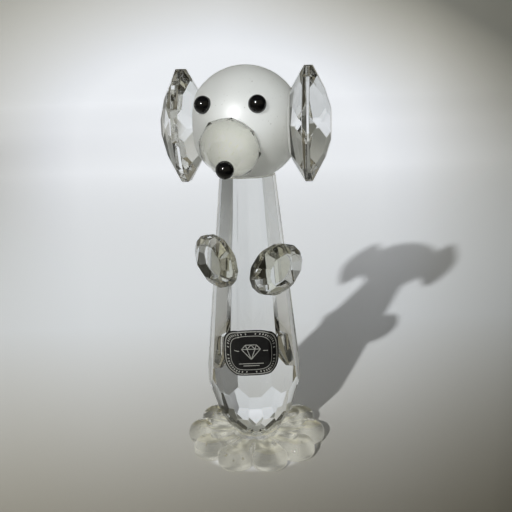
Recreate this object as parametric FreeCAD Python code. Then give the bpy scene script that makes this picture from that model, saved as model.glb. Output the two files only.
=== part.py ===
"""Dog figurine glued together from cut and pressed crystal pieces.

Frame: millimetres, +Z up, origin at the centre of the base's flat underside,
the body and its label face -Y. Every piece is a solid of its own, and every
glued joint is a thin film of clear adhesive with a solid of its own.
"""
import FreeCAD, Part
import os
from math import atan2, cos, degrees, hypot, pi, radians, sin, sqrt, tan
from FreeCAD import Matrix, Placement, Rotation, Vector

# ---- driving sizes -------------------------------------------------------
BOND = 0.15                 # thickness of each film of adhesive
BOND_MARGIN = 0.35          # how far a film stays inside the faces it joins

# pressed base: a ring of round-ended petals with a spoon-like scoop in each
PETALS = 10
BASE_DIAMETER = 40.9
BASE_HEIGHT = 4.8           # top of the petals
SEAT_HEIGHT = 3.8           # flat seat for the body
SEAT_RADIUS = 6.6
CORE_HEIGHT = 3.5
PETAL_FOOT_ROUND = 1.3
SCOOP_FLOOR = 3.0           # height of the scoop's lowest line
# the rosette keeps its pattern at any diameter
PETAL_HALF_WIDTH = 0.1247 * BASE_DIAMETER       # radius of a petal's round end
PETAL_ROOT = 0.2103 * BASE_DIAMETER             # where its straight sides start
PETAL_ROOT_HALF_WIDTH = 0.0722 * BASE_DIAMETER
PETAL_TOP_ROUND = 0.0636 * BASE_DIAMETER
CORE_RADIUS = 0.2298 * BASE_DIAMETER            # disc that joins the petals' roots
SCOOP_RADIUS = 0.1027 * BASE_DIAMETER
SCOOP_REACH = 0.2836 * BASE_DIAMETER            # axis to the scoop's round end
BASE_TURN = -5.0            # the base is glued a little turned

# body: a tapered prism with a faceted point that stands on a small foot
BODY_SIDES = 9
BODY_LENGTH = 76.0
NECK_APOTHEM = 7.35         # half width across the flats at the top
GIRDLE_APOTHEM = 13.3       # half width across the flats at the widest place
GIRDLE_ABOVE_FOOT = 15.9
# rows of facets below the girdle: half a step turned or not, downward lean,
# and the radius and the height above the foot that the facet's middle passes
BODY_ROWS = (
    (0.5, 14.7, 13.83, 18.9),
    (0.0, 17.0, 13.30, 15.9),
    (0.5, 26.0, 10.95, 7.8),
    (0.0, 38.0, 8.40, 3.3),
    (0.5, 50.0, 6.10, 0.6),
)

# head: a ball with ground flats for the neck, the ears and the muzzle
BALL_DIAMETER = 30.5
NECK_GRIND = 1.6            # how deep each flat is ground into the ball
EAR_GRIND = 2.9
HEAD_TURN = -17.0           # the head looks a little to its own right

# ears: long oval drops, domed outwards and flat where they meet the ball
EAR_LENGTH = 30.1
EAR_WIDTH = 18.2
EAR_GIRDLE = 1.9
EAR_SIDES = 10
# rows of facets from the girdle: length, width and height that each reaches
EAR_OUTER_ROWS = ((17.6, 10.4, 4.3), (8.2, 4.8, 5.8))
EAR_INNER_ROWS = ((18.4, 9.4, 4.6),)
EAR_DROP = 0.45             # centre of the ear below the ball's centre
EAR_SET = 6.0               # the pair of ears is turned back against the face

# facets over the girdle's corners: lean and reach as shares of the main ones
CORNER_LEAN = 0.8
CORNER_REACH = 0.985

# paws: oval stones with a wide table, glued by eye, so not quite alike
PAW_LENGTH = 16.8
PAW_WIDTH = 12.0
PAW_THICKNESS = 7.1
PAW_GIRDLE = 2.0
PAW_TABLE_LENGTH = 10.8
PAW_TABLE_WIDTH = 7.8
PAW_SIDES = 12
PAW_FACE = 1                # which body face the paw is glued to, from front
# side of the body, height of the centre, outer end tipped up by, how far the
# paw sits from the middle of its face towards the front, and its size share
PAWS = {
    "left": (1, 55.8, 14.0, 2.4, 1.04),
    "right": (-1, 58.0, 44.0, -1.1, 0.93),
}

# muzzle: an eight-sided half bead on a flat of the ball
MUZZLE_DIAMETER = 15.2
MUZZLE_SIDES = 8
MUZZLE_BACK_DIAMETER = 13.0
MUZZLE_WAIST_DIAMETER = 12.4
MUZZLE_TABLE_DIAMETER = 8.2
MUZZLE_GIRDLE = (1.0, 2.1)  # the girdle's lower and upper height
MUZZLE_WAIST = 4.4          # height of the break between the two upper rows
MUZZLE_DEPTH = 6.6
MUZZLE_CORNER = 1.03        # reach of the corner facets, as a share of the radius
MUZZLE_DOWN = 19.0          # the muzzle's axis points down by this angle
MUZZLE_TWIST = 11.0         # and the stone is turned about it

# black glass beads
EYE_DIAMETER = 4.6
EYE_SIDE = 29.0             # to each side of the middle, degrees
EYE_UP = 21.0
EYE_PROUD = 0.5             # centre of the bead outside the ball's surface
NOSE_DIAMETER = 4.6
NOSE_SINK = 0.35            # how much of the nose is ground flat
NOSE_DOWN = 2.5             # from the middle of the muzzle's table
NOSE_ASIDE = 0.5
BEAD_BOND_RADIUS = 1.5

# foil label on the front of the body
LABEL_WIDTH = 15.3
LABEL_HEIGHT = 12.8
LABEL_CORNER = 3.2
LABEL_BULGE = 0.9
LABEL_THICKNESS = 0.10
LABEL_CENTRE = 32.6
LABEL_ASIDE = -0.7          # it is stuck on a little off the middle

# ---- sizes that follow ---------------------------------------------------
PETAL_CENTRE = BASE_DIAMETER / 2 - PETAL_HALF_WIDTH
FOOT_Z = SEAT_HEIGHT + BOND
NECK_Z = FOOT_Z + BODY_LENGTH
GIRDLE_Z = FOOT_Z + GIRDLE_ABOVE_FOOT
BODY_STEP = 360.0 / BODY_SIDES
BODY_LEAN = degrees(atan2(GIRDLE_APOTHEM - NECK_APOTHEM, NECK_Z - GIRDLE_Z))
BALL_RADIUS = BALL_DIAMETER / 2
NECK_FLAT = BALL_RADIUS - NECK_GRIND
EAR_FLAT = BALL_RADIUS - EAR_GRIND
BALL_Z = NECK_Z + BOND + NECK_FLAT
MUZZLE_FLAT = sqrt(BALL_RADIUS ** 2 - (MUZZLE_BACK_DIAMETER / 2 + BOND_MARGIN) ** 2)

UP = Vector(0, 0, 1)


# ---- cutting flat facets -------------------------------------------------
def direction(azimuth, lean):
    """Unit vector: azimuth from -Y towards +X, lean upwards, in degrees."""
    a, e = radians(azimuth), radians(lean)
    return Vector(cos(e) * sin(a), -cos(e) * cos(a), sin(e))


def facet_through(azimuth, lean, radius, height):
    """Plane of a facet that passes a point at this radius and height."""
    e = radians(lean)
    return direction(azimuth, lean), radius * cos(e) + height * sin(e)


def outside_block(normal, distance, reach):
    """Block that fills the outer side of a plane."""
    block = Part.makeBox(2 * reach, 2 * reach, 2 * reach, Vector(-reach, -reach, 0))
    block.Placement = Placement(normal * distance, Rotation(UP, normal))
    return block


def grind(shape, planes, reach):
    """Cut away everything outside the planes."""
    for normal, distance in planes:
        shape = shape.cut(outside_block(normal, distance, reach))
    return shape.removeSplitter().Solids[0]


def gem(planes, reach):
    """Convex cut stone bounded by the planes."""
    rough = Part.makeBox(2 * reach, 2 * reach, 2 * reach, Vector(-reach, -reach, -reach))
    return grind(rough, planes, 2 * reach)


def support(angle, half_a, half_b):
    """Distance from the centre to an ellipse's tangent across this angle."""
    return hypot(half_a * cos(angle), half_b * sin(angle))


def belt_facet(angle, lean, distance):
    """Facet plane of a stone whose thickness runs along X and length along Z."""
    return Vector(sin(lean), cos(lean) * sin(angle), cos(lean) * cos(angle)), distance


def oval_stone(length, width, girdle, sides, outer_rows, inner_rows):
    """Oval stone, length along Z, its outer side towards +X.

    Each side climbs from the girdle to a flat table in rows of main facets,
    and each row gives the length, width and height of the oval it reaches.
    Narrow facets lie over the girdle's corners.
    """
    edge = girdle / 2
    planes = []
    for side, rows in ((1, outer_rows), (-1, inner_rows)):
        planes.append((Vector(side, 0, 0), rows[-1][2]))
        low = (length, width, edge)
        for count, row in enumerate(rows):
            for i in range(sides):
                angle = 2 * pi * (i + 0.5 * (count % 2)) / sides
                outer = support(angle, low[0] / 2, low[1] / 2)
                inner = support(angle, row[0] / 2, row[1] / 2)
                lean = atan2(outer - inner, row[2] - low[2])
                reach = outer * cos(lean) + low[2] * sin(lean)
                planes.append(belt_facet(angle, side * lean, reach))
            low = row
        for i in range(sides):
            angle = 2 * pi * i / sides
            planes.append(belt_facet(angle, 0.0, support(angle, length / 2, width / 2)))
            corner = angle + pi / sides
            outer = support(corner, length / 2, width / 2)
            inner = support(corner, rows[0][0] / 2, rows[0][1] / 2)
            lean = atan2(outer - inner, rows[0][2] - edge) * CORNER_LEAN
            far = outer / cos(pi / sides) * CORNER_REACH
            planes.append(belt_facet(corner, 0.0, far))
            planes.append(belt_facet(corner, side * lean, far * cos(lean) + edge * sin(lean)))
    return gem(planes, length)


def disc(radius, height, thickness):
    """Round film, axis along Z, its lower face at the given height."""
    return Part.makeCylinder(radius, thickness, Vector(0, 0, height), UP)


def oval_film(length, width, start, thickness):
    """Oval film across X: length along Z, width along Y."""
    major, minor = max(length, width) / 2, min(length, width) / 2
    ellipse = Part.Ellipse(Vector(0, 0, 0), major, minor)
    film = Part.Face(Part.Wire(ellipse.toShape())).extrude(Vector(0, 0, thickness))
    turn = Rotation(Vector(0, 1, 0), 90) * Rotation(UP, 0 if length >= width else 90)
    film.Placement = Placement(Vector(start, 0, 0), turn)
    return film


def placed(shape, placement):
    """Copy of a shape, moved as a whole."""
    moved = shape.copy()
    moved.Placement = placement.multiply(moved.Placement)
    return moved


def frame_at(origin, x_axis, z_hint):
    """Placement whose X axis is given and whose Z axis lies near the hint."""
    x = Vector(x_axis).normalize()
    y = z_hint.cross(x).normalize()
    z = x.cross(y)
    matrix = Matrix(x.x, y.x, z.x, origin.x,
                    x.y, y.y, z.y, origin.y,
                    x.z, y.z, z.z, origin.z,
                    0, 0, 0, 1)
    return Placement(matrix)


# ---- base ----------------------------------------------------------------
def petal():
    """One petal along -Y: round outer end, straight sides, rounded edges."""
    slant = atan2(PETAL_HALF_WIDTH - PETAL_ROOT_HALF_WIDTH, PETAL_CENTRE - PETAL_ROOT)
    touch_x = PETAL_HALF_WIDTH * cos(slant)
    touch_y = -(PETAL_CENTRE - PETAL_HALF_WIDTH * sin(slant))
    tip = Vector(0, -(PETAL_CENTRE + PETAL_HALF_WIDTH), 0)
    left, right = Vector(-touch_x, touch_y, 0), Vector(touch_x, touch_y, 0)
    root_left = Vector(-PETAL_ROOT_HALF_WIDTH, -PETAL_ROOT, 0)
    root_right = Vector(PETAL_ROOT_HALF_WIDTH, -PETAL_ROOT, 0)
    outline = Part.Wire([
        Part.makeLine(root_left, left),
        Part.Arc(left, tip, right).toShape(),
        Part.makeLine(right, root_right),
        Part.makeLine(root_right, root_left),
    ])
    solid = Part.Face(outline).extrude(Vector(0, 0, BASE_HEIGHT))
    for height, radius in ((BASE_HEIGHT, PETAL_TOP_ROUND), (0.0, PETAL_FOOT_ROUND)):
        rim = [edge for edge in solid.Edges
               if abs(edge.BoundBox.ZMin - height) < 1e-6
               and abs(edge.BoundBox.ZMax - height) < 1e-6
               and edge.BoundBox.YMin < -PETAL_ROOT - 1e-6]
        solid = solid.makeFillet(radius, rim)
    return solid


def scoop():
    """Cutter for one petal's hollow: a round-ended trough that runs inwards."""
    height = SCOOP_FLOOR + SCOOP_RADIUS
    end = Vector(0, -SCOOP_REACH, height)
    trough = Part.makeCylinder(SCOOP_RADIUS, SCOOP_REACH, end, Vector(0, 1, 0))
    return trough.fuse(Part.makeSphere(SCOOP_RADIUS, end))


def base_flower():
    """Pressed base: petals in a ring, scoops, and a flat seat in the middle."""
    turns = [Placement(Vector(), Rotation(UP, BASE_TURN + 360.0 * (i + 0.5) / PETALS))
             for i in range(PETALS)]
    one, cutter = petal(), scoop()
    petals = [placed(one, turn) for turn in turns]
    hollows = [placed(cutter, turn) for turn in turns]
    core = disc(CORE_RADIUS, 0.0, CORE_HEIGHT)
    body = petals[0].multiFuse(petals[1:] + [core])
    body = body.cut(hollows[0].multiFuse(hollows[1:]))
    seat = disc(SEAT_RADIUS, 0.0, SEAT_HEIGHT)
    clear = disc(SEAT_RADIUS, SEAT_HEIGHT, BASE_HEIGHT)
    return body.fuse(seat).cut(clear).removeSplitter().Solids[0]


# ---- body and label ------------------------------------------------------
def body_planes(grow=0.0):
    """Facet planes of the body, moved outwards by the given distance."""
    planes = [(UP, NECK_Z + grow), (Vector(0, 0, -1), -FOOT_Z + grow)]
    for i in range(BODY_SIDES):
        azimuth = i * BODY_STEP
        planes.append(facet_through(azimuth, BODY_LEAN, GIRDLE_APOTHEM, GIRDLE_Z))
        for phase, lean, radius, height in BODY_ROWS:
            planes.append(facet_through(azimuth + phase * BODY_STEP, -lean,
                                        radius, FOOT_Z + height))
    return planes[:2] + [(normal, distance + grow) for normal, distance in planes[2:]]


def label_outline():
    """Cushion-shaped block in front of the body, as wide and high as the label."""
    w, h, b = LABEL_WIDTH / 2, LABEL_HEIGHT / 2, LABEL_BULGE
    x, z = w - b, h - b
    corners = [Vector(-x, 0, -z), Vector(x, 0, -z), Vector(x, 0, z), Vector(-x, 0, z)]
    middles = [Vector(0, 0, -h), Vector(w, 0, 0), Vector(0, 0, h), Vector(-w, 0, 0)]
    edges = [Part.Arc(corners[i], middles[i], corners[(i + 1) % 4]).toShape()
             for i in range(4)]
    block = Part.Face(Part.Wire(edges)).extrude(Vector(0, -2 * GIRDLE_APOTHEM, 0))
    upright = [edge for edge in block.Edges if edge.BoundBox.YLength > GIRDLE_APOTHEM]
    block = block.makeFillet(LABEL_CORNER, upright)
    return placed(block, Placement(Vector(LABEL_ASIDE, 0, LABEL_CENTRE), Rotation()))


def label(body):
    """Foil that follows the faces it is stuck to."""
    skin = gem(body_planes(LABEL_THICKNESS), 2 * NECK_Z)
    return skin.common(label_outline()).cut(body).Solids[0]


# ---- head ----------------------------------------------------------------
def muzzle_stone():
    """Half bead with its back on the plane Z = 0 and its table at the top."""
    back, edge = MUZZLE_BACK_DIAMETER / 2, MUZZLE_DIAMETER / 2
    waist, table = MUZZLE_WAIST_DIAMETER / 2, MUZZLE_TABLE_DIAMETER / 2
    low, high = MUZZLE_GIRDLE
    corner = edge * MUZZLE_CORNER
    planes = [(Vector(0, 0, -1), 0.0), (UP, MUZZLE_DEPTH)]
    step = 360.0 / MUZZLE_SIDES
    for i in range(MUZZLE_SIDES):
        for phase, r0, z0, r1, z1 in (
                (0.5, back, 0.0, corner, low),
                (0.0, edge, low, edge, high),
                (0.5, corner, high, waist, MUZZLE_WAIST),
                (0.0, waist, MUZZLE_WAIST, table, MUZZLE_DEPTH)):
            lean = degrees(atan2(r0 - r1, z1 - z0))
            planes.append(facet_through((i + phase) * step + MUZZLE_TWIST, lean, r0, z0))
    return gem(planes, MUZZLE_DIAMETER)


def flat_place(normal, distance):
    """Placement that turns +Z to the normal and lifts by the distance."""
    x_side = Vector(1, 0, 0)
    y_side = normal.cross(x_side).normalize()
    matrix = Matrix(x_side.x, y_side.x, normal.x, normal.x * distance,
                    x_side.y, y_side.y, normal.y, normal.y * distance,
                    x_side.z, y_side.z, normal.z, normal.z * distance,
                    0, 0, 0, 1)
    return Placement(matrix)


def head_pieces():
    """Every piece of the head, in the head's own frame at the ball's centre."""
    muzzle_axis = direction(0.0, -MUZZLE_DOWN)
    ear_turn = Placement(Vector(), Rotation(UP, EAR_SET))
    ear_axis = ear_turn.multVec(Vector(1, 0, 0))
    ball = grind(Part.makeSphere(BALL_RADIUS), [
        (Vector(0, 0, -1), NECK_FLAT),
        (ear_axis, EAR_FLAT),
        (-ear_axis, EAR_FLAT),
        (muzzle_axis, MUZZLE_FLAT),
    ], 4 * BALL_RADIUS)
    pieces = {"head_ball": ball}

    flat_length = 2 * sqrt(BALL_RADIUS ** 2 - EAR_FLAT ** 2)
    film_length = min(flat_length, EAR_INNER_ROWS[-1][0] - 2 * EAR_DROP) - 2 * BOND_MARGIN
    film_width = min(flat_length, EAR_INNER_ROWS[-1][1]) - 2 * BOND_MARGIN
    ear = oval_stone(EAR_LENGTH, EAR_WIDTH, EAR_GIRDLE, EAR_SIDES,
                     EAR_OUTER_ROWS, EAR_INNER_ROWS)
    for name, side in (("left", 1), ("right", -1)):
        centre = Vector(side * (EAR_FLAT + BOND + EAR_INNER_ROWS[-1][2]), 0, -EAR_DROP)
        turn = Rotation(UP, 0 if side > 0 else 180)
        pieces["ear_" + name] = placed(ear, ear_turn.multiply(Placement(centre, turn)))
        start = EAR_FLAT if side > 0 else -EAR_FLAT - BOND
        film = oval_film(film_length, film_width, start, BOND)
        pieces["ear_bond_" + name] = placed(film, ear_turn)

    muzzle = flat_place(muzzle_axis, MUZZLE_FLAT + BOND)
    pieces["muzzle"] = placed(muzzle_stone(), muzzle)
    film = disc(MUZZLE_BACK_DIAMETER / 2 - BOND_MARGIN, 0.0, BOND)
    pieces["muzzle_bond"] = placed(film, flat_place(muzzle_axis, MUZZLE_FLAT))

    nose_radius = NOSE_DIAMETER / 2
    foot = muzzle.multVec(Vector(NOSE_ASIDE, -NOSE_DOWN, MUZZLE_DEPTH))
    seat = foot.dot(muzzle_axis)
    bead = Part.makeSphere(nose_radius, foot + muzzle_axis * (BOND + nose_radius - NOSE_SINK))
    reach = 4 * BALL_RADIUS
    pieces["nose"] = bead.common(outside_block(muzzle_axis, seat + BOND, reach)).Solids[0]
    flat_radius = sqrt(nose_radius ** 2 - (nose_radius - NOSE_SINK) ** 2)
    pieces["nose_bond"] = Part.makeCylinder(flat_radius, BOND, foot, muzzle_axis)

    inner = Part.makeSphere(BALL_RADIUS)
    outer = Part.makeSphere(BALL_RADIUS + BOND)
    for name, side in (("left", 1), ("right", -1)):
        axis = direction(side * EYE_SIDE, EYE_UP)
        bead = Part.makeSphere(EYE_DIAMETER / 2, axis * (BALL_RADIUS + EYE_PROUD))
        pieces["eye_" + name] = bead.cut(outer).Solids[0]
        core = Part.makeCylinder(BEAD_BOND_RADIUS, BALL_RADIUS / 2, axis * (BALL_RADIUS * 0.8), axis)
        pieces["eye_bond_" + name] = core.common(outer).cut(inner).Solids[0]
    return pieces


# ---- paws ----------------------------------------------------------------
def paw_apothem(height):
    """Half width across the body's flats at this height."""
    return GIRDLE_APOTHEM - (height - GIRDLE_Z) * tan(radians(BODY_LEAN))


def paw_pieces():
    """Both paws and their films, each square to the body face it is glued to.

    A film fills the part of the paw's table that lies over the body face.
    """
    pieces = {}
    for name, (side, height, tip, shift, share) in PAWS.items():
        rows = ((PAW_TABLE_LENGTH * share, PAW_TABLE_WIDTH * share, PAW_THICKNESS * share / 2),)
        stone = oval_stone(PAW_LENGTH * share, PAW_WIDTH * share, PAW_GIRDLE, PAW_SIDES, rows, rows)
        azimuth = side * PAW_FACE * BODY_STEP
        normal = direction(azimuth, BODY_LEAN)
        outward = UP.cross(normal).normalize() * side
        upward = normal.cross(UP.cross(normal)).normalize()
        middle = direction(azimuth, 0.0) * paw_apothem(height) + UP * height
        foot = middle - outward * shift
        along = outward * cos(radians(tip)) + upward * sin(radians(tip))
        centre = foot + normal * (BOND + rows[0][2])
        pieces["paw_" + name] = placed(stone, frame_at(centre, normal, along))
        table = oval_film(rows[0][0] - 2 * BOND_MARGIN, rows[0][1] - 2 * BOND_MARGIN, 0.0, BOND)
        top_apothem = paw_apothem(height + PAW_WIDTH / 2)
        width = 2 * (top_apothem * tan(radians(BODY_STEP / 2)) - BOND_MARGIN)
        strip = Part.makeBox(BOND, width, PAW_LENGTH, Vector(0, -width / 2, -PAW_LENGTH / 2))
        film = placed(table, frame_at(foot, normal, along))
        film = film.common(placed(strip, frame_at(middle, normal, upward)))
        pieces["paw_bond_" + name] = film.Solids[0]
    return pieces


# ---- assembly ------------------------------------------------------------
def assembly():
    """Every named piece in the figurine's frame."""
    body = gem(body_planes(), 2 * NECK_Z)
    foot_lean = radians(BODY_ROWS[-1][1])
    foot_apothem = BODY_ROWS[-1][2] - BODY_ROWS[-1][3] * tan(foot_lean)
    neck_flat_radius = sqrt(BALL_RADIUS ** 2 - NECK_FLAT ** 2)
    pieces = {
        "base_flower": base_flower(),
        "base_bond": disc(min(foot_apothem, SEAT_RADIUS) - BOND_MARGIN, SEAT_HEIGHT, BOND),
        "body_prism": body,
        "label": label(body),
        "neck_bond": disc(min(neck_flat_radius, NECK_APOTHEM) - BOND_MARGIN, NECK_Z, BOND),
    }
    head = Placement(Vector(0, 0, BALL_Z), Rotation(UP, HEAD_TURN))
    for name, shape in head_pieces().items():
        pieces[name] = placed(shape, head)
    pieces.update(paw_pieces())
    return pieces


def main():
    """Write one STEP file for each piece."""
    os.makedirs("parts", exist_ok=True)
    for name, shape in assembly().items():
        solid = shape.Solids[0]
        print("%-16s volume %9.3f mm3 valid %s" % (name, solid.Volume, solid.isValid()))
        solid.exportStep("parts/%s.step" % name)


main()
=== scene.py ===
"""Crystal dog figurine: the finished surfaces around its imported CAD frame.

The cut crystals keep the exact facets of the CAD model and get polished
arrises. The pressed base, the satin ball, the beads, the films of adhesive
and the foil label are surfaces worked out here from the frame's sizes.
"""
from math import cos, pi, radians, sin

import bmesh
import bpy
import numpy as np
from bpy.props import (FloatProperty, FloatVectorProperty, IntProperty,
                       PointerProperty)
from mathutils import Matrix, Vector


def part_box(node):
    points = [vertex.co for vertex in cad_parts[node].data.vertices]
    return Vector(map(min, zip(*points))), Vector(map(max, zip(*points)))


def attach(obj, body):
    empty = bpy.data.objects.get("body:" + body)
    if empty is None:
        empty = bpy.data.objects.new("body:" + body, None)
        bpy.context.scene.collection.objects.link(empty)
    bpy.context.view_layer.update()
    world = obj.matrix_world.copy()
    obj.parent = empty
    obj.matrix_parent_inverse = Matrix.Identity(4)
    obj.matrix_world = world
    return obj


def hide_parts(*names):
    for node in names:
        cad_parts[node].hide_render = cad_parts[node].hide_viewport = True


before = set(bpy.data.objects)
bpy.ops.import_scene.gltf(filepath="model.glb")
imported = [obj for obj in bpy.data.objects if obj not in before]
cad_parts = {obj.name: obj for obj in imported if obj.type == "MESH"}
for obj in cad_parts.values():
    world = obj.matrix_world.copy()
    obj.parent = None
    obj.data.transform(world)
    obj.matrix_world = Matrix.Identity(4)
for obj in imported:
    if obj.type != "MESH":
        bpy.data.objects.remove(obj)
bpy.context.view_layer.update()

bl_info = {
    "name": "Crystal Dog Figurine",
    "version": (1, 0, 0),
    "blender": (4, 5, 0),
    "location": "View3D > Sidebar > Figurine",
    "description": "Cut crystal, pressed glass, beads and foil of a glued figurine",
    "category": "Object",
}

MM = 0.001
CUT_STONES = ("body_prism", "ear_left", "ear_right", "muzzle", "paw_left", "paw_right")
FILMS = ("base_bond", "neck_bond", "ear_bond_left", "ear_bond_right", "muzzle_bond",
         "nose_bond", "eye_bond_left", "eye_bond_right", "paw_bond_left",
         "paw_bond_right")
BEADS = ("eye_left", "eye_right", "nose")
BASE_RADIUS = 20.44 * MM             # axis to the petals' tips, a hair inside the CAD model's
BASE_TURN = radians(-5.0) - pi / 2   # where one gap between two petals points
BALL_RADIUS = 15.25 * MM
FILM = 0.15 * MM                     # thickness of the adhesive under a ground flat


def linear(code):
    """Linear colour of an sRGB hex value."""
    values = [int(code[i:i + 2], 16) / 255 for i in (1, 3, 5)]
    return [v / 12.92 if v <= 0.04045 else ((v + 0.055) / 1.055) ** 2.4 for v in values]


# ---- what a user would change ---------------------------------------------
def length(name, description, default):
    """Length property, given in millimetres and kept in metres."""
    return FloatProperty(name=name, description=description, default=default * MM,
                         min=0.0, subtype='DISTANCE', unit='LENGTH', precision=5)


def colour(name, description, code):
    """Colour property from an sRGB hex value."""
    return FloatVectorProperty(name=name, description=description, default=linear(code),
                               subtype='COLOR', size=3, min=0.0, max=1.0)


class FigurineSizes(bpy.types.PropertyGroup):
    """Sizes of the finish that the CAD model leaves open."""
    arris: length("Arris", "Width of the polished edge between two facets", 0.09)
    film_overlap: length("Film overlap", "How far adhesive wets into both faces", 0.018)
    petal_round: length("Petal rounding", "Radius of a petal's upper edge", 2.6)
    petal_foot: length("Petal foot", "Radius of a petal's lower edge", 1.3)
    scoop_radius: length("Scoop radius", "Radius of the hollow in a petal", 4.2)
    scoop_floor: length("Scoop floor", "Height of the hollow's lowest line", 3.0)
    scoop_reach: length("Scoop reach", "Axis to the hollow's round end", 11.6)
    petal_half_width: length("Petal half width", "Radius of a petal's round end", 5.1)
    seat_radius: length("Seat radius", "Radius of the flat seat for the body", 6.6)
    seed_size: length("Seed size", "Largest radius of a gas seed in the base", 0.26)
    foil: length("Foil", "Thickness of the label", 0.07)
    foil_gap: length("Foil gap", "Adhesive under the label", 0.02)
    foil_lift: length("Foil lift", "How far the label's edge has peeled", 0.55)
    petals: IntProperty(name="Petals", description="Petals of the base", default=10)
    seeds: IntProperty(name="Seeds", description="Gas seeds in the base", default=46)


class FigurineColours(bpy.types.PropertyGroup):
    """Colours of the glasses, the foil and the set."""
    crystal: colour("Crystal", "Cut crystal, almost free of colour", "#FBFCFC")
    pressed: colour("Pressed glass", "Faintly yellow-grey base glass", "#F0ECD9")
    satin: colour("Satin crystal", "Acid-frosted ball", "#EDEFEB")
    bead: colour("Black glass", "Opaque black bead glass", "#070708")
    adhesive: colour("Adhesive", "Clear cured adhesive", "#F7F6EC")
    foil_black: colour("Foil lacquer", "Black lacquer on the foil", "#0C0C0D")
    foil_silver: colour("Foil silver", "Bare foil that shows as line work", "#C9CBC6")
    floor: colour("Floor", "Pale table top", "#B8B19C")
    wall: colour("Backdrop", "Pale backdrop paper", "#DDE1E2")


# ---- meshes -----------------------------------------------------------------
def place_piece(name, mesh, material, nodes):
    """Object of a mesh, riding on the figurine's one body in place of CAD nodes."""
    mesh.materials.clear()
    mesh.materials.append(material)
    piece = bpy.data.objects.new(name, mesh)
    bpy.context.scene.collection.objects.link(piece)
    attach(piece, "root")
    if nodes:
        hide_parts(*nodes)
    return piece


def new_piece(name, vertices, faces, material, nodes=(), smooth=True):
    """Piece made from arrays of points and faces."""
    mesh = bpy.data.meshes.new(name)
    mesh.from_pydata(np.asarray(vertices, float).tolist(), [], faces)
    mesh.validate()
    mesh.polygons.foreach_set("use_smooth", np.full(len(mesh.polygons), smooth))
    return place_piece(name, mesh, material, nodes)


def turned(faces):
    """The same faces, looking the other way."""
    return [face[::-1] for face in faces]


def grid_faces(rows, columns, start=0, close_rows=False):
    """Quads of a grid whose columns close on themselves, as index arrays."""
    i = np.arange(rows if close_rows else rows - 1)[:, None]
    j = np.arange(columns)[None, :]
    a, b = i * columns, ((i + 1) % rows) * columns
    quads = np.stack([a + j, a + (j + 1) % columns, b + (j + 1) % columns, b + j], axis=-1)
    return (quads.reshape(-1, 4) + start).tolist()


def fan(centre, ring, flip=False):
    """Triangles from one centre point to a closed ring of indices."""
    ring = np.asarray(ring)
    after = np.roll(ring, -1)
    middle = np.full(len(ring), centre)
    order = (middle, after, ring) if flip else (middle, ring, after)
    return np.stack(order, axis=-1).tolist()


def merged_copy(node, name, material, grow=0.0):
    """Copy of a CAD node with its loose triangles merged and flat faces whole.

    With grow, every point moves outwards along its own normal by that much.
    """
    mesh = bpy.data.meshes.new(name)
    bm = bmesh.new()
    bm.from_mesh(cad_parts[node].data)
    bmesh.ops.remove_doubles(bm, verts=bm.verts, dist=0.002 * MM)
    bmesh.ops.dissolve_degenerate(bm, edges=bm.edges, dist=0.004 * MM)
    bmesh.ops.dissolve_limit(bm, angle_limit=radians(0.7), verts=bm.verts, edges=bm.edges)
    bmesh.ops.recalc_face_normals(bm, faces=bm.faces)
    bm.to_mesh(mesh)
    bm.free()
    if grow:
        points, normals = np.zeros(len(mesh.vertices) * 3), np.zeros(len(mesh.vertices) * 3)
        mesh.vertices.foreach_get("co", points)
        mesh.vertex_normals.foreach_get("vector", normals)
        mesh.vertices.foreach_set("co", points + normals * grow)
    return place_piece(name, mesh, material, [node])


def box_middle(node):
    """Middle of a CAD node's box, as an array."""
    low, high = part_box(node)
    return (np.array(low) + np.array(high)) / 2


def facet_planes(node):
    """Outward normals and distances of a CAD node's flat faces.

    Triangles whose normals agree to 0.001 and distances to 0.01 mm are one face.
    """
    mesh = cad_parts[node].data
    count = len(mesh.polygons)
    normals, centres = np.zeros(count * 3), np.zeros(count * 3)
    mesh.polygons.foreach_get("normal", normals)
    mesh.polygons.foreach_get("center", centres)
    normals, centres = normals.reshape(-1, 3), centres.reshape(-1, 3)
    distances = np.einsum("ij,ij->i", normals, centres)
    rows = np.column_stack([normals, distances / MM * 0.1]).round(3)
    keep = np.unique(rows, axis=0, return_index=True)[1]
    return normals[keep], distances[keep]


# ---- materials --------------------------------------------------------------
def add(tree, kind, links=None, **settings):
    """Add a node, set its plain values and link its inputs by name or index."""
    node = tree.nodes.new(kind)
    for key, value in settings.items():
        setattr(node, key, value)
    for key, value in (links or {}).items():
        socket = node.inputs[key]
        if isinstance(value, bpy.types.NodeSocket):
            tree.links.new(value, socket)
        else:
            socket.default_value = value
    return node


def material(name):
    """New material: its tree, its surface shader and Object coordinates."""
    made = bpy.data.materials.new(name)
    made.use_nodes = True
    tree = made.node_tree
    shader = tree.nodes["Principled BSDF"]
    place = add(tree, 'ShaderNodeTexCoord').outputs['Object']
    return made, tree, shader, place


def noise(tree, place, size_mm, detail=3.0, rough=0.55):
    """Noise whose features are about size_mm across."""
    return add(tree, 'ShaderNodeTexNoise', {'Vector': place, 'Scale': 1 / (size_mm * MM),
                                            'Detail': detail, 'Roughness': rough}).outputs['Fac']


def ramp(tree, value, low, high, out_low, out_high):
    """Straight map of one range onto another, clamped."""
    return add(tree, 'ShaderNodeMapRange', {'Value': value, 'From Min': low, 'From Max': high,
                                            'To Min': out_low, 'To Max': out_high}).outputs[0]


def chain(tree, operation, values):
    """Fold several values together with one maths operation."""
    result = values[0]
    for value in values[1:]:
        result = add(tree, 'ShaderNodeMath', {0: result, 1: value},
                     operation=operation).outputs[0]
    return result


def product(tree, *values):
    """All the values multiplied."""
    return chain(tree, 'MULTIPLY', values)


def total(tree, *values):
    """All the values added."""
    return chain(tree, 'ADD', values)


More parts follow.
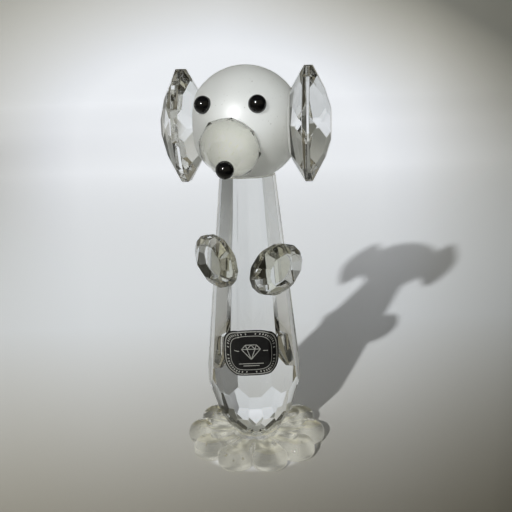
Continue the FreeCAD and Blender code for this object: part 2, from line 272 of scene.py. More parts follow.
def tint(tree, value, low, high):
    """Colour between two colours, each of them three numbers or a socket."""
    mixer = add(tree, 'ShaderNodeMix', data_type='RGBA')
    for key, given in (('Factor', value), ('A', low), ('B', high)):
        if isinstance(given, bpy.types.NodeSocket):
            tree.links.new(given, mixer.inputs[key])
        else:
            mixer.inputs[key].default_value = (*given, 1)
    return mixer.outputs['Result']


def bump(tree, height, depth_mm, strength=1.0):
    """Relief of a real depth."""
    return add(tree, 'ShaderNodeBump', {'Height': height, 'Distance': depth_mm * MM,
                                        'Strength': strength}).outputs['Normal']


def cut_crystal(colours):
    """Lead-free crystal, machine cut and polished.

    Facets are mirror flat, with the faint long waves of felt polishing and
    a few specks of dust that break the gloss.
    """
    made, tree, shader, place = material("crystal_cut_polished")
    wave = noise(tree, place, 7.0, 1.0)
    dust = ramp(tree, noise(tree, place, 0.32, 2.0), 0.70, 0.76, 0.0, 1.0)
    haze = ramp(tree, noise(tree, place, 3.0, 4.0), 0.45, 0.75, 0.0, 0.022)
    rough = add(tree, 'ShaderNodeMath', {0: dust, 1: 0.22, 2: haze}, operation='MULTIPLY_ADD')
    clean = list(colours.crystal)
    shader.inputs['Transmission Weight'].default_value = 1.0
    shader.inputs['IOR'].default_value = 1.54
    tree.links.new(tint(tree, dust, clean, linear("#E4E3DA")), shader.inputs['Base Color'])
    tree.links.new(rough.outputs[0], shader.inputs['Roughness'])
    tree.links.new(bump(tree, wave, 0.004), shader.inputs['Normal'])
    return made


def pressed_glass(colours):
    """Soda-lime glass, pressed in an iron mould and fire polished.

    The skin is wavy from chilling against the mould, and the melt has a faint
    yellow-grey cast with streaks.
    """
    made, tree, shader, place = material("soda_glass_pressed")
    chill = noise(tree, place, 3.4, 1.0)
    cord = noise(tree, place, 6.0, 3.0)
    grime = ramp(tree, noise(tree, place, 1.1, 5.0), 0.55, 0.8, 0.0, 0.08)
    pale = list(colours.pressed)
    deep = [c * k for c, k in zip(pale, (0.93, 0.92, 0.86))]
    shader.inputs['Transmission Weight'].default_value = 1.0
    shader.inputs['IOR'].default_value = 1.51
    tree.links.new(tint(tree, cord, pale, deep), shader.inputs['Base Color'])
    tree.links.new(grime, shader.inputs['Roughness'])
    tree.links.new(bump(tree, chill, 0.03), shader.inputs['Normal'])
    return made


def satin_crystal(colours):
    """Crystal ball, frosted in acid to a silky matt skin.

    Light goes through but no image does; there are a few dark pits and paler
    rubbed spots. A painted glow stands in for the light that the ball gathers:
    the skin gives off light of its own, strongest on the ground flats and near the muzzle.
    """
    made, tree, shader, place = material("crystal_acid_frosted")
    grain = noise(tree, place, 0.16, 3.0)
    cloud = noise(tree, place, 9.0, 3.0)
    pits = ramp(tree, noise(tree, place, 0.55, 1.0), 0.74, 0.80, 0.0, 1.0)
    pale = list(colours.satin)
    base = tint(tree, cloud, [c * 0.95 for c in pale], pale)
    from_centre = add(tree, 'ShaderNodeVectorMath', {0: place, 1: tuple(ball_centre())},
                      operation='DISTANCE').outputs['Value']
    from_muzzle = add(tree, 'ShaderNodeVectorMath', {0: place, 1: tuple(box_middle("muzzle_bond"))},
                      operation='DISTANCE').outputs['Value']
    # painted glow: emission, brighter on the ground flats just inside the radius and towards the muzzle
    painted_glow = product(tree, ramp(tree, from_muzzle, 0.5 * MM, 6.5 * MM, 1.2, 0.5),
                    ramp(tree, from_centre, BALL_RADIUS - 0.4 * MM, BALL_RADIUS - 0.08 * MM, 0.44, 0.07))
    shader.inputs['Emission Color'].default_value = (*linear("#F0F1EF"), 1)
    tree.links.new(painted_glow, shader.inputs['Emission Strength'])
    shader.inputs['Transmission Weight'].default_value = 0.8
    shader.inputs['IOR'].default_value = 1.52
    tree.links.new(tint(tree, pits, base, linear("#8F8E84")), shader.inputs['Base Color'])
    tree.links.new(ramp(tree, cloud, 0.3, 0.7, 0.40, 0.50), shader.inputs['Roughness'])
    tree.links.new(bump(tree, grain, 0.012), shader.inputs['Normal'])
    return made


def bead_glass(colours):
    """Opaque black bead glass, lamp-worked, so it has a liquid gloss."""
    made, tree, shader, place = material("glass_bead_black")
    dust = ramp(tree, noise(tree, place, 0.25, 3.0), 0.66, 0.78, 0.0, 1.0)
    black = list(colours.bead)
    shader.inputs['IOR'].default_value = 1.52
    tree.links.new(tint(tree, dust, black, linear("#1A1A1C")), shader.inputs['Base Color'])
    tree.links.new(ramp(tree, dust, 0.0, 1.0, 0.10, 0.3), shader.inputs['Roughness'])
    tree.links.new(bump(tree, noise(tree, place, 1.6, 1.0), 0.01), shader.inputs['Normal'])
    return made


def clear_adhesive(colours):
    """Cured clear resin, slightly warm, with fine trapped air."""
    made, tree, shader, place = material("adhesive_clear_cured")
    air = ramp(tree, noise(tree, place, 0.6, 2.0), 0.62, 0.7, 0.0, 1.0)
    warm = list(colours.adhesive)
    shader.inputs['Transmission Weight'].default_value = 1.0
    shader.inputs['IOR'].default_value = 1.5
    tree.links.new(tint(tree, air, warm, linear("#E2E0D0")), shader.inputs['Base Color'])
    tree.links.new(ramp(tree, air, 0.0, 1.0, 0.0, 0.12), shader.inputs['Roughness'])
    return made


def foil_lacquer(colours):
    """Embossed aluminium foil under black lacquer, rubbed at its folds."""
    made, tree, shader, place = material("foil_black_lacquer")
    emboss = noise(tree, place, 0.35, 2.0)
    crease = noise(tree, place, 2.4, 4.0, 0.7)
    rubbed = ramp(tree, noise(tree, place, 0.5, 6.0, 0.7), 0.62, 0.74, 0.0, 0.55)
    black = list(colours.foil_black)
    height = add(tree, 'ShaderNodeMath', {0: crease, 1: 2.5, 2: emboss}, operation='MULTIPLY_ADD')
    shader.inputs['Metallic'].default_value = 0.25
    tree.links.new(tint(tree, rubbed, black, linear("#5E5F5C")), shader.inputs['Base Color'])
    tree.links.new(ramp(tree, crease, 0.3, 0.7, 0.28, 0.46), shader.inputs['Roughness'])
    tree.links.new(bump(tree, height.outputs[0], 0.03), shader.inputs['Normal'])
    return made


def foil_silver(colours):
    """Bare aluminium of the foil, left free of lacquer as fine lines."""
    made, tree, shader, place = material("foil_bare_aluminium")
    worn = ramp(tree, noise(tree, place, 0.45, 5.0, 0.7), 0.5, 0.72, 0.0, 1.0)
    bright = list(colours.foil_silver)
    shader.inputs['Metallic'].default_value = 0.75
    tree.links.new(tint(tree, worn, bright, linear("#6A6B67")), shader.inputs['Base Color'])
    tree.links.new(ramp(tree, worn, 0.0, 1.0, 0.38, 0.6), shader.inputs['Roughness'])
    return made


# ---- pressed base -----------------------------------------------------------
def smooth_min(a, b, width):
    """Lower of two heights, with the crease between them rounded over width."""
    h = np.clip(0.5 + 0.5 * (b - a) / width, 0, 1)
    return b + (a - b) * h - width * h * (1 - h)


def smooth_step(value, low, high):
    """Soft step from 0 to 1 between low and high."""
    t = np.clip((value - low) / (high - low), 0, 1)
    return t * t * (3 - 2 * t)


MELT = 0.35 * MM                     # how far neighbour petals run into each other inside
LIP = 0.18 * MM                      # rounding where a scoop meets its petal
CORE = (7.6 * MM, 10.6 * MM)         # radii over which the low core gives way to the petals
CORE_HEIGHT = 3.5 * MM
SEAT_RIM = (0.25 * MM, 0.45 * MM)    # rounding inside and outside the seat's edge


def base_height(r, phi, sizes, top, seat_height):
    """Upper surface of the rosette over a point at radius r and angle phi.

    The angle is folded into one petal. The petal stands at full height and
    falls in a quarter circle over its rounded edge; a round-ended trough is
    scooped out of it along its middle; inside, a low core carries the seat.
    """
    step = 2 * pi / sizes.petals
    folded = (phi + step / 2) % step - step / 2
    u, v = r * np.cos(folded), np.abs(r * np.sin(folded))
    end = BASE_RADIUS - sizes.petal_half_width
    spacing = sin(step / 2)
    swell = sizes.petal_half_width - spacing * end - MELT
    side = MELT + spacing * u + swell * np.clip(u / end, 0, 1) ** 3
    inset = np.where(u < end, side - v, sizes.petal_half_width - np.hypot(u - end, v))
    inset = np.clip(inset, 0, sizes.petal_round)
    rise = sizes.petal_round
    petal = top - rise + np.sqrt(np.maximum(rise ** 2 - (rise - inset) ** 2, 0))
    along = np.maximum(u - sizes.scoop_reach, 0)
    bowl = np.maximum(sizes.scoop_radius ** 2 - v ** 2 - along ** 2, 0)
    scoop = sizes.scoop_floor + sizes.scoop_radius - np.sqrt(bowl)
    height = smooth_min(petal, scoop, LIP)
    outside = smooth_step(r, *CORE)
    height = height * outside + np.minimum(height, CORE_HEIGHT) * (1 - outside)
    on_seat = 1 - smooth_step(r, sizes.seat_radius - SEAT_RIM[0], sizes.seat_radius + SEAT_RIM[1])
    return height * (1 - on_seat) + seat_height * on_seat


def rosette(sizes):
    """Vertices and faces of the base.

    Rings follow the outline of the petals, which at each angle is where a ray
    from the axis leaves the petal's round end. They climb from the middle of
    the seat over the upper surface to the outline, then go down the rounded
    foot and back to the middle of the flat underside.
    """
    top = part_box("base_flower")[1].z
    seat_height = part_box("base_bond")[0].z
    per_petal, climb, foot_rings, under_rings = 40, 74, 9, 12
    columns = sizes.petals * per_petal
    step = 2 * pi / sizes.petals
    phi = np.arange(columns) * 2 * pi / columns
    end = BASE_RADIUS - sizes.petal_half_width
    folded = phi % step - step / 2
    outline = end * np.cos(folded) + np.sqrt(sizes.petal_half_width ** 2
                                             - (end * np.sin(folded)) ** 2)
    s = np.linspace(0, 1, climb + 1)[1:-1, None]
    s = 1 - (1 - s) ** 1.7
    upper = s * outline[None, :]
    edge = np.linspace(0, pi / 2, foot_rings)[:, None]
    under = np.linspace(0.94, 0.08, under_rings)[:, None]
    r = np.concatenate([upper, outline[None, :],
                        outline - sizes.petal_foot * (1 - np.cos(edge)),
                        (outline - sizes.petal_foot) * under])
    z = np.concatenate([base_height(upper, phi[None, :] - step / 2, sizes, top, seat_height),
                        np.full_like(outline, top - sizes.petal_round)[None, :],
                        sizes.petal_foot * (1 - np.sin(edge)) * np.ones_like(outline),
                        np.zeros((under_rings, columns))])
    angle = phi + BASE_TURN
    points = np.stack([r * np.cos(angle), r * np.sin(angle), z], axis=-1).reshape(-1, 3)
    rows = len(r)
    points = np.concatenate([points, [[0, 0, seat_height], [0, 0, 0]]])
    faces = turned(grid_faces(rows, columns))
    faces += fan(len(points) - 2, np.arange(columns))
    faces += fan(len(points) - 1, np.arange(columns) + (rows - 1) * columns, flip=True)
    return points, faces


def seed_cavities(sizes, start):
    """Small round gas seeds inside the petals, as cavities of the glass.

    Seeds lie at random radii, angles and heights within the solid part of a
    petal's outer end; each is a sphere whose faces look into the cavity.
    """
    random = np.random.default_rng(21)
    step = 2 * pi / sizes.petals
    petal = random.integers(0, sizes.petals, sizes.seeds)
    out = BASE_RADIUS - random.uniform(2.4, 5.2, sizes.seeds) * MM
    side = random.uniform(-2.6, 2.6, sizes.seeds) * MM
    height = random.uniform(0.9, 2.6, sizes.seeds) * MM
    size = sizes.seed_size * random.uniform(0.3, 1.0, sizes.seeds) ** 1.5
    angle = BASE_TURN + (petal + 0.5) * step
    centre = np.stack([out * np.cos(angle) - side * np.sin(angle),
                       out * np.sin(angle) + side * np.cos(angle), height], axis=-1)
    rows, columns = 7, 12
    polar = np.linspace(0, pi, rows + 2)[1:-1, None]
    turn = np.arange(columns)[None, :] * 2 * pi / columns
    ball = np.stack([np.sin(polar) * np.cos(turn), np.sin(polar) * np.sin(turn),
                     np.cos(polar) * np.ones_like(turn)], axis=-1).reshape(-1, 3)
    ball = np.concatenate([ball, [[0, 0, 1], [0, 0, -1]]])
    faces = np.array(grid_faces(rows, columns))
    caps = np.array(fan(len(ball) - 2, np.arange(columns), flip=True)
                    + fan(len(ball) - 1, np.arange(columns) + (rows - 1) * columns))
    points = (centre[:, None, :] + ball[None] * size[:, None, None]).reshape(-1, 3)
    shift = start + np.arange(sizes.seeds)[:, None, None] * len(ball)
    quads = (faces[None] + shift).reshape(-1, 4).tolist()
    triangles = (caps[None] + shift).reshape(-1, 3).tolist()
    return points, quads + triangles


# ---- satin ball and beads ---------------------------------------------------
def ball_centre():
    """Centre of the head ball, from its top and the flats of its ears."""
    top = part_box("head_ball")[1].z
    left, right = box_middle("ear_bond_left"), box_middle("ear_bond_right")
    middle = (left + right) / 2
    return np.array([middle[0], middle[1], top - BALL_RADIUS])


def flats_of_ball():
    """Unit normals and distances of the ball's ground flats."""
    centre = ball_centre()
    targets = [box_middle(name) - centre for name in
               ("ear_bond_left", "ear_bond_right", "muzzle_bond", "neck_bond")]
    normals = np.array([t / np.linalg.norm(t) for t in targets])
    return normals, np.array([np.linalg.norm(t) - FILM / 2 for t in targets])


def ball_surface():
    """Ball with ground flats.

    Each direction's distance is the smaller of the ball's radius and the
    distance to the nearest flat along that direction.
    """
    rows, columns = 150, 300
    polar = np.linspace(0, pi, rows + 2)[1:-1, None]
    turn = np.arange(columns)[None, :] * 2 * pi / columns
    way = np.stack([np.sin(polar) * np.cos(turn), np.sin(polar) * np.sin(turn),
                    np.cos(polar) * np.ones_like(turn)], axis=-1).reshape(-1, 3)
    way = np.concatenate([way, [[0, 0, 1], [0, 0, -1]]])
    normals, distances = flats_of_ball()
    facing = way @ normals.T
    reach = np.where(facing > 0.2, distances / np.maximum(facing, 0.2), 1.0)
    radius = np.minimum(BALL_RADIUS, reach.min(axis=1))
    points = ball_centre() + way * radius[:, None]
    faces = turned(grid_faces(rows, columns))
    faces += fan(len(points) - 2, np.arange(columns))
    faces += fan(len(points) - 1, np.arange(columns) + (rows - 1) * columns, flip=True)
    return points, faces


# ---- foil label -------------------------------------------------------------
def foil_depth(x, z, sizes):
    """How far back the label lies: on whichever body facet is foremost there.

    Towards its right-hand end the foil has come unstuck and curls forward.
    """
    normals, distances = facet_planes("body_prism")
    front = normals[:, 1] < -0.25
    n, d = normals[front], distances[front]
    y = np.max((d - x[..., None] * n[:, 0] - z[..., None] * n[:, 2]) / n[:, 1], axis=-1)
    low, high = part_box("label")
    aside = (x - (low.x + high.x) / 2) / ((high.x - low.x) / 2)
    peel = smooth_step(aside, 0.72, 1.02) * smooth_step(z - low.z, 3 * MM, 9 * MM)
    return y - sizes.foil_gap - sizes.foil_lift * peel


def cushion(angle, scale, half_width, half_height, power=3.4):
    """Cushion-shaped outline: a superellipse, scaled about the middle."""
    c, s = np.cos(angle), np.sin(angle)
    x = np.sign(c) * np.abs(c) ** (2 / power) * half_width * scale
    z = np.sign(s) * np.abs(s) ** (2 / power) * half_height * scale
    return x, z


def foil_sheet(sizes):
    """Label: rings of the cushion outline, front and back, joined at the rim."""
    low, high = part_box("label")
    half_width, half_height = (high.x - low.x) / 2, (high.z - low.z) / 2
    middle = (low.z + high.z) / 2
    columns, rows = 160, 26
    angle = np.arange(columns) * 2 * pi / columns
    scale = np.linspace(0, 1, rows + 1)[1:, None]
    x, z = cushion(angle[None, :], scale, half_width, half_height)
    aside = (low.x + high.x) / 2
    x = x + aside
    y = foil_depth(x, z + middle, sizes)
    front = np.stack([x, y - sizes.foil, z + middle], axis=-1).reshape(-1, 3)
    back = np.stack([x, y, z + middle], axis=-1).reshape(-1, 3)
    pole = foil_depth(np.full(1, aside), np.full(1, middle), sizes)[0]
    poles = [[aside, pole - sizes.foil, middle], [aside, pole, middle]]
    points = np.concatenate([front, back, poles])
    count = rows * columns
    faces = turned(grid_faces(rows, columns))
    faces += grid_faces(rows, columns, start=count)
    faces += fan(2 * count, np.arange(columns))
    faces += fan(2 * count + 1, np.arange(columns) + count, flip=True)
    rim = np.arange(columns) + (rows - 1) * columns
    after = np.roll(rim, -1)
    faces += np.stack([rim, rim + count, after + count, after], axis=-1).tolist()
    return points, faces


LINE_FOOT, LINE_CREST = 0.002 * MM, 0.022 * MM   # silver lines stand this far off the foil


def line_work(path, width, closed, sizes, start):
    """Raised line on the foil: a flat ribbon of four points per station."""
    path = np.asarray(path, float)
    if closed:
        ahead = np.roll(path, -1, axis=0) - np.roll(path, 1, axis=0)
    else:
        ahead = np.gradient(path, axis=0)
    ahead /= np.linalg.norm(ahead, axis=1)[:, None]
    side = np.stack([-ahead[:, 1], ahead[:, 0]], axis=-1) * width / 2
    left, right = path + side, path - side
    corners = []
    for edge, height in ((left, LINE_FOOT), (right, LINE_FOOT),
                         (right, LINE_CREST), (left, LINE_CREST)):
        y = foil_depth(edge[:, 0], edge[:, 1], sizes) - sizes.foil - height
        corners.append(np.stack([edge[:, 0], y, edge[:, 1]], axis=-1))
    points = np.stack(corners, axis=1).reshape(-1, 3)
    stations = len(path)
    faces = grid_faces(stations, 4, start=start, close_rows=closed)
    if not closed:
        first, last = start, start + (stations - 1) * 4
        faces.append([first, first + 1, first + 2, first + 3])
        faces.append([last + 3, last + 2, last + 1, last])
    return points, turned(faces)


def label_paths():
    """Line work of the label: two borders, a beaded band, a cut stone, rules.

    Each path is its points across and up, its width in millimetres, and
    whether it closes on itself.
    """
    low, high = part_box("label")
    half_width, half_height = (high.x - low.x) / 2, (high.z - low.z) / 2
    middle = (low.z + high.z) / 2
    angle = np.arange(120) * 2 * pi / 120
    paths = []
    for scale, width in ((0.93, 0.26), (0.74, 0.16)):
        x, z = cushion(angle, scale, half_width, half_height)
        paths.append((np.stack([x, z + middle], axis=-1), width, True))
    beads = (np.arange(44) + 0.5) * 2 * pi / 44
    for turn in beads:
        x, z = cushion(np.full(3, turn), np.array([0.80, 0.835, 0.87]), half_width, half_height)
        paths.append((np.stack([x, z + middle], axis=-1), 0.3, False))
    stone = np.array([[-2.6, 0.7], [-1.5, 1.9], [1.5, 1.9], [2.6, 0.7], [0.0, -2.2]]) * MM
    lines = [stone[[0, 3]], stone[[0, 1]], stone[[1, 2]], stone[[2, 3]], stone[[3, 4]], stone[[4, 0]]]
    inner = np.array([[-1.1, 0.7], [0.0, 1.9], [1.1, 0.7]]) * MM
    lines += [np.array([stone[1], inner[0]]), np.array([inner[0], inner[1]]),
              np.array([inner[1], inner[2]]), np.array([stone[2], inner[2]]),
              np.array([inner[0], stone[4]]), np.array([inner[2], stone[4]])]
    steps = np.linspace(0, 1, 7)[:, None]
    for a, b in lines:
        path = a + (b - a) * steps + [0, middle + 0.35 * MM]
        paths.append((path, 0.2, False))
    for height, reach in ((-3.0, 3.4), (-3.6, 2.2)):
        x = np.linspace(-reach, reach, 30) * MM
        path = np.stack([x, np.full(30, middle + height * MM)], axis=-1)
        paths.append((path, 0.2, False))
    for side in (-1, 1):
        x = np.linspace(3.3, 4.6, 8) * side * MM
        path = np.stack([x, np.full(8, middle + 0.6 * MM)], axis=-1)
        paths.append((path if side > 0 else path[::-1], 0.2, False))
    aside = [(low.x + high.x) / 2, 0]
    return [(path + aside, width, closed) for path, width, closed in paths]


# ---- operators --------------------------------------------------------------
class FIGURINE_OT_cut_stones(bpy.types.Operator):
    """Body, ears, muzzle and paws: exact facets with polished arrises"""
    bl_idname = "figurine.cut_stones"
    bl_label = "Cut Stones"

    def execute(self, context):
        sizes, colours = context.scene.figurine_sizes, context.scene.figurine_colours
        crystal = cut_crystal(colours)
        for node in CUT_STONES:
            piece = merged_copy(node, node + "_cut", crystal)
            arris = piece.modifiers.new("arris", 'BEVEL')
            arris.width = sizes.arris
            arris.segments = 2
            arris.limit_method = 'ANGLE'
            arris.angle_limit = radians(2.5)
            arris.use_clamp_overlap = False
        return {'FINISHED'}


class FIGURINE_OT_flower_base(bpy.types.Operator):
    """Pressed rosette with its scoops and gas seeds"""
    bl_idname = "figurine.flower_base"
    bl_label = "Flower Base"

    def execute(self, context):
        sizes, colours = context.scene.figurine_sizes, context.scene.figurine_colours
        points, faces = rosette(sizes)
        seeds, seed_faces = seed_cavities(sizes, len(points))
        new_piece("base_flower_pressed", np.concatenate([points, seeds]), faces + seed_faces,
                  pressed_glass(colours), ["base_flower"])
        return {'FINISHED'}


class FIGURINE_OT_satin_ball(bpy.types.Operator):
    """Frosted head ball with its ground flats"""
    bl_idname = "figurine.satin_ball"
    bl_label = "Satin Ball"

    def execute(self, context):
        points, faces = ball_surface()
        new_piece("head_ball_satin", points, faces,
                  satin_crystal(context.scene.figurine_colours), ["head_ball"])
        return {'FINISHED'}


class FIGURINE_OT_beads(bpy.types.Operator):
    """Eyes and nose of black glass"""
    bl_idname = "figurine.beads"
    bl_label = "Beads"

    def execute(self, context):
        black = bead_glass(context.scene.figurine_colours)
        for node in BEADS:
            piece = merged_copy(node, node + "_bead", black)
            piece.data.polygons.foreach_set("use_smooth", np.ones(len(piece.data.polygons), bool))
        return {'FINISHED'}


class FIGURINE_OT_films(bpy.types.Operator):
    """Films of adhesive that wet both faces of each joint"""
    bl_idname = "figurine.films"
    bl_label = "Adhesive Films"

    def execute(self, context):
        sizes, colours = context.scene.figurine_sizes, context.scene.figurine_colours
        resin = clear_adhesive(colours)
        for node in FILMS:
            merged_copy(node, node + "_resin", resin, sizes.film_overlap)
        return {'FINISHED'}


class FIGURINE_OT_label(bpy.types.Operator):
    """Foil label and its silver line work"""
    bl_idname = "figurine.label"
    bl_label = "Foil Label"

    def execute(self, context):
        sizes, colours = context.scene.figurine_sizes, context.scene.figurine_colours
        points, faces = foil_sheet(sizes)
        new_piece("label_foil", points, faces, foil_lacquer(colours), ["label"])
        all_points, all_faces, count = [], [], 0
        for path, width, closed in label_paths():
            points, faces = line_work(path, width * MM, closed, sizes, count)
            all_points.append(points)
            all_faces += faces
            count += len(points)
        new_piece("label_lines", np.concatenate(all_points), all_faces,
                  foil_silver(colours), smooth=False)
        return {'FINISHED'}


class FIGURINE_OT_stage(bpy.types.Operator):
    """Pale sweep, soft light and the camera"""
    bl_idname = "figurine.stage"
    bl_label = "Stage"

    def execute(self, context):
        sweep(context.scene.figurine_colours)
        lamps()
        camera(context.scene)
        return {'FINISHED'}


# ---- stage ------------------------------------------------------------------
# The sweep gives off light of its own, in a pattern that is fixed in the room.
# Its bearings are taken about a point in front of the figurine, close to the camera.
POINT_AHEAD, POINT_HEIGHT = 0.19, 0.07   # metres before the figurine's axis, above the floor
GLOW_NEAR = (0.015, 0.16)    # strength in front of the figurine and just behind it
GLOW_FAR = (0.52, 0.13)      # what the floor further back and the wall add to it
GLOW_RIGHT, GLOW_LEFT = 0.10, 0.8   # share of it that is left well to the right and the left
GLOW_TOP, GLOW_EDGE = 0.25, 0.10    # share left at the wall's top and away from its middle
GLOW_UNDER = 0.40            # strength of the painted pool of light under the base, in place of the light that the glass gathers
GLOW_BEHIND = 0.16           # strength on the side that the figurine faces
PAINTED_SHADE_RIGHT = 0.2              # share of the paper's colour left at the right, under painted shade


def sweep(colours):
    """Round sweep: a flat floor that curves up into a wall all the way round.

    Matt paper, warmer on the floor than on the wall, with painted shade that darkens it to the right.
    Its own light is the product of falls to each side, away from its brightest
    direction and up the wall, and of a rise with distance.
    """
    floor_radius, cove, wall_top = 2.6, 0.9, 3.6
    flat = np.linspace(0, 1, 30)[1:] ** 2 * floor_radius
    bend = np.linspace(0, pi / 2, 20)[1:]
    rise = np.linspace(cove, wall_top, 12)[1:]
    r = np.concatenate([flat, floor_radius + cove * np.sin(bend),
                        np.full(11, floor_radius + cove)])
    z = np.concatenate([np.zeros(29), cove * (1 - np.cos(bend)), rise])
    columns = 128
    angle = np.arange(columns) * 2 * pi / columns
    points = np.stack([r[:, None] * np.cos(angle), r[:, None] * np.sin(angle),
                       z[:, None] * np.ones(columns)], axis=-1).reshape(-1, 3)
    points = np.concatenate([points, [[0, 0, 0]]])
    faces = grid_faces(len(r), columns) + fan(len(points) - 1, np.arange(columns))
    mesh = bpy.data.meshes.new("sweep")
    mesh.from_pydata(points.tolist(), [], faces)
    mesh.polygons.foreach_set("use_smooth", np.ones(len(mesh.polygons), bool))
    paper, tree, shader, place = material("paper_matt_sweep")
    where = add(tree, 'ShaderNodeSeparateXYZ', {0: place})
    x, y, z = (where.outputs[axis] for axis in 'XYZ')
    back = total(tree, y, POINT_AHEAD)
    bearing = chain(tree, 'ARCTAN2', (x, back))
    radius = add(tree, 'ShaderNodeVectorMath', {0: place}, operation='LENGTH').outputs['Value']
    distance = ramp(tree, y, -0.08, 0.10, 0.0, 1.0)
    # painted shade: to the right of the figurine the paper's colour is mixed towards dark grey
    painted_shade_share = chain(tree, 'MAXIMUM', (ramp(tree, bearing, radians(21), radians(36), 1.0, PAINTED_SHADE_RIGHT),
                                  ramp(tree, bearing, radians(90), radians(160), PAINTED_SHADE_RIGHT, 1.0)))
    grain = noise(tree, place, 1.2, 4.0)
    paper_colour = tint(tree, distance, list(colours.floor), list(colours.wall))
    tree.links.new(tint(tree, painted_shade_share, linear("#26251F"), paper_colour), shader.inputs['Base Color'])
    shader.inputs['Roughness'].default_value = 0.75
    shader.inputs['Specular IOR Level'].default_value = 0.2
    tree.links.new(bump(tree, grain, 0.02), shader.inputs['Normal'])
    above = total(tree, z, -POINT_HEIGHT)
    rise = chain(tree, 'ARCTAN2', (above, back))
    # aside and up: radians from the brightest direction; a corner counts as further off
    aside = chain(tree, 'MAXIMUM', (total(tree, product(tree, bearing, 0.8), 0.02), -0.27))
    up = product(tree, chain(tree, 'MAXIMUM', (total(tree, rise, 0.08), 0.0)), 1.4)
    apart = add(tree, 'ShaderNodeCombineXYZ', {0: aside, 1: up}).outputs[0]
    apart = add(tree, 'ShaderNodeVectorMath', {0: apart}, operation='LENGTH').outputs['Value']
    corner = product(tree, chain(tree, 'MAXIMUM', (aside, 0.0)), up, 1.6)
    apart = total(tree, apart, corner)
    glow = product(tree, ramp(tree, bearing, radians(14), radians(34), 1.0, GLOW_RIGHT),
                   ramp(tree, apart, 0.17, 0.43, 1.0, GLOW_EDGE),
                   ramp(tree, bearing, radians(-100), radians(-50), GLOW_LEFT, 1.0),
                   ramp(tree, z, 0.9, 2.6, 1.0, GLOW_TOP),
                   total(tree, ramp(tree, y, -0.05, 0.10, GLOW_NEAR[0], GLOW_NEAR[1]),
                         ramp(tree, y, 0.10, 0.60, 0.0, GLOW_FAR[0]),
                         ramp(tree, y, 0.60, 1.20, 0.0, GLOW_FAR[1])))
    # painted pool of light: patches inside the base's outline
    painted_pool_under_base = product(tree, ramp(tree, noise(tree, place, 4.2, 1.0), 0.38, 0.68, 0.4, 1.0),
                       ramp(tree, radius, 0.0165, 0.0192, GLOW_UNDER, 0.0))
    behind = ramp(tree, y, -1.6, -0.5, GLOW_BEHIND, 0.0)
    glow = total(tree, glow, painted_pool_under_base, behind)
    warmth = ramp(tree, apart, 0.20, 0.45, 0.0, 1.0)
    tree.links.new(tint(tree, warmth, linear("#F1F4FA"), linear("#F0E9CE")),
                   shader.inputs['Emission Color'])
    tree.links.new(glow, shader.inputs['Emission Strength'])
    mesh.materials.append(paper)
    piece = bpy.data.objects.new("sweep", mesh)
    bpy.context.scene.collection.objects.link(piece)


def aimed(name, data, place, aim):
    """Light object at a place, turned to its aim."""
    piece = bpy.data.objects.new(name, data)
    piece.location = place
    piece.rotation_euler = (Vector(aim) - Vector(place)).to_track_quat('-Z', 'Y').to_euler()
    bpy.context.scene.collection.objects.link(piece)


def lamps():
    """Spot from the upper left front whose soft beam ends near the figurine's foot."""
    key = bpy.data.lights.new("key", 'SPOT')
    key.energy, key.shadow_soft_size = 56.0, 0.012
    key.spot_size, key.spot_blend = radians(38), 1.0
    key.color = linear("#FDFDFF")
    aimed("key", key, (-0.31, -0.69, 0.44), (0.03, 0.45, 0.05))
    world = bpy.data.worlds.new("room")
    world.use_nodes = True
    world.node_tree.nodes["Background"].inputs[0].default_value = (*linear("#5A5A56"), 1)
    world.node_tree.nodes["Background"].inputs[1].default_value = 0.35
    bpy.context.scene.world = world


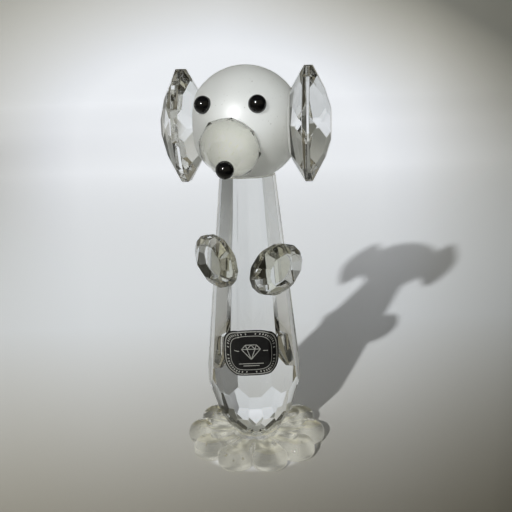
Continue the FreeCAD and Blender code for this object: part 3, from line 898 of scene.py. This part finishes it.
def camera(scene):
    """Close view from a little above, tipped so the figurine leans left."""
    data = bpy.data.cameras.new("view")
    data.sensor_fit = 'HORIZONTAL'
    data.sensor_width = 36.0
    data.lens = 49.2117
    data.clip_start = 0.01
    piece = bpy.data.objects.new("view", data)
    place = Vector((0.0, -0.1906, 0.1077))
    pitch, pan, roll = radians(14.95), radians(0.49), radians(1.9)
    turn = (Matrix.Rotation(-pan, 4, 'Z') @ Matrix.Rotation(pi / 2 - pitch, 4, 'X')
            @ Matrix.Rotation(-roll, 4, 'Z'))
    piece.matrix_world = Matrix.Translation(place) @ turn
    scene.collection.objects.link(piece)
    scene.camera = piece
    scene.view_settings.view_transform = 'Standard'
    scene.cycles.max_bounces = 24
    scene.cycles.transmission_bounces = 24
    scene.cycles.glossy_bounces = 12
    scene.cycles.caustics_reflective = False
    scene.cycles.caustics_refractive = True
    scene.cycles.sample_clamp_indirect = 3.0


class FIGURINE_PT_panel(bpy.types.Panel):
    """Lists the steps that build the figurine"""
    bl_idname = "FIGURINE_PT_panel"
    bl_label = "Crystal Figurine"
    bl_space_type = 'VIEW_3D'
    bl_region_type = 'UI'
    bl_category = "Figurine"

    def draw(self, context):
        column = self.layout.column()
        for operator in OPERATORS:
            column.operator(operator.bl_idname)
        for group in (context.scene.figurine_sizes, context.scene.figurine_colours):
            for name in type(group).__annotations__:
                column.prop(group, name)


OPERATORS = (FIGURINE_OT_cut_stones, FIGURINE_OT_flower_base, FIGURINE_OT_satin_ball,
             FIGURINE_OT_beads, FIGURINE_OT_films, FIGURINE_OT_label, FIGURINE_OT_stage)
CLASSES = (FigurineSizes, FigurineColours) + OPERATORS + (FIGURINE_PT_panel,)


def register():
    """Add the classes and the scene's settings."""
    for cls in CLASSES:
        bpy.utils.register_class(cls)
    bpy.types.Scene.figurine_sizes = PointerProperty(type=FigurineSizes)
    bpy.types.Scene.figurine_colours = PointerProperty(type=FigurineColours)


def unregister():
    """Take the classes and the scene's settings away again."""
    del bpy.types.Scene.figurine_colours
    del bpy.types.Scene.figurine_sizes
    for cls in reversed(CLASSES):
        bpy.utils.unregister_class(cls)


def main():
    """Build every piece in order."""
    register()
    bpy.ops.figurine.cut_stones()
    bpy.ops.figurine.flower_base()
    bpy.ops.figurine.satin_ball()
    bpy.ops.figurine.beads()
    bpy.ops.figurine.films()
    bpy.ops.figurine.label()
    bpy.ops.figurine.stage()


if __name__ == "__main__":
    main()
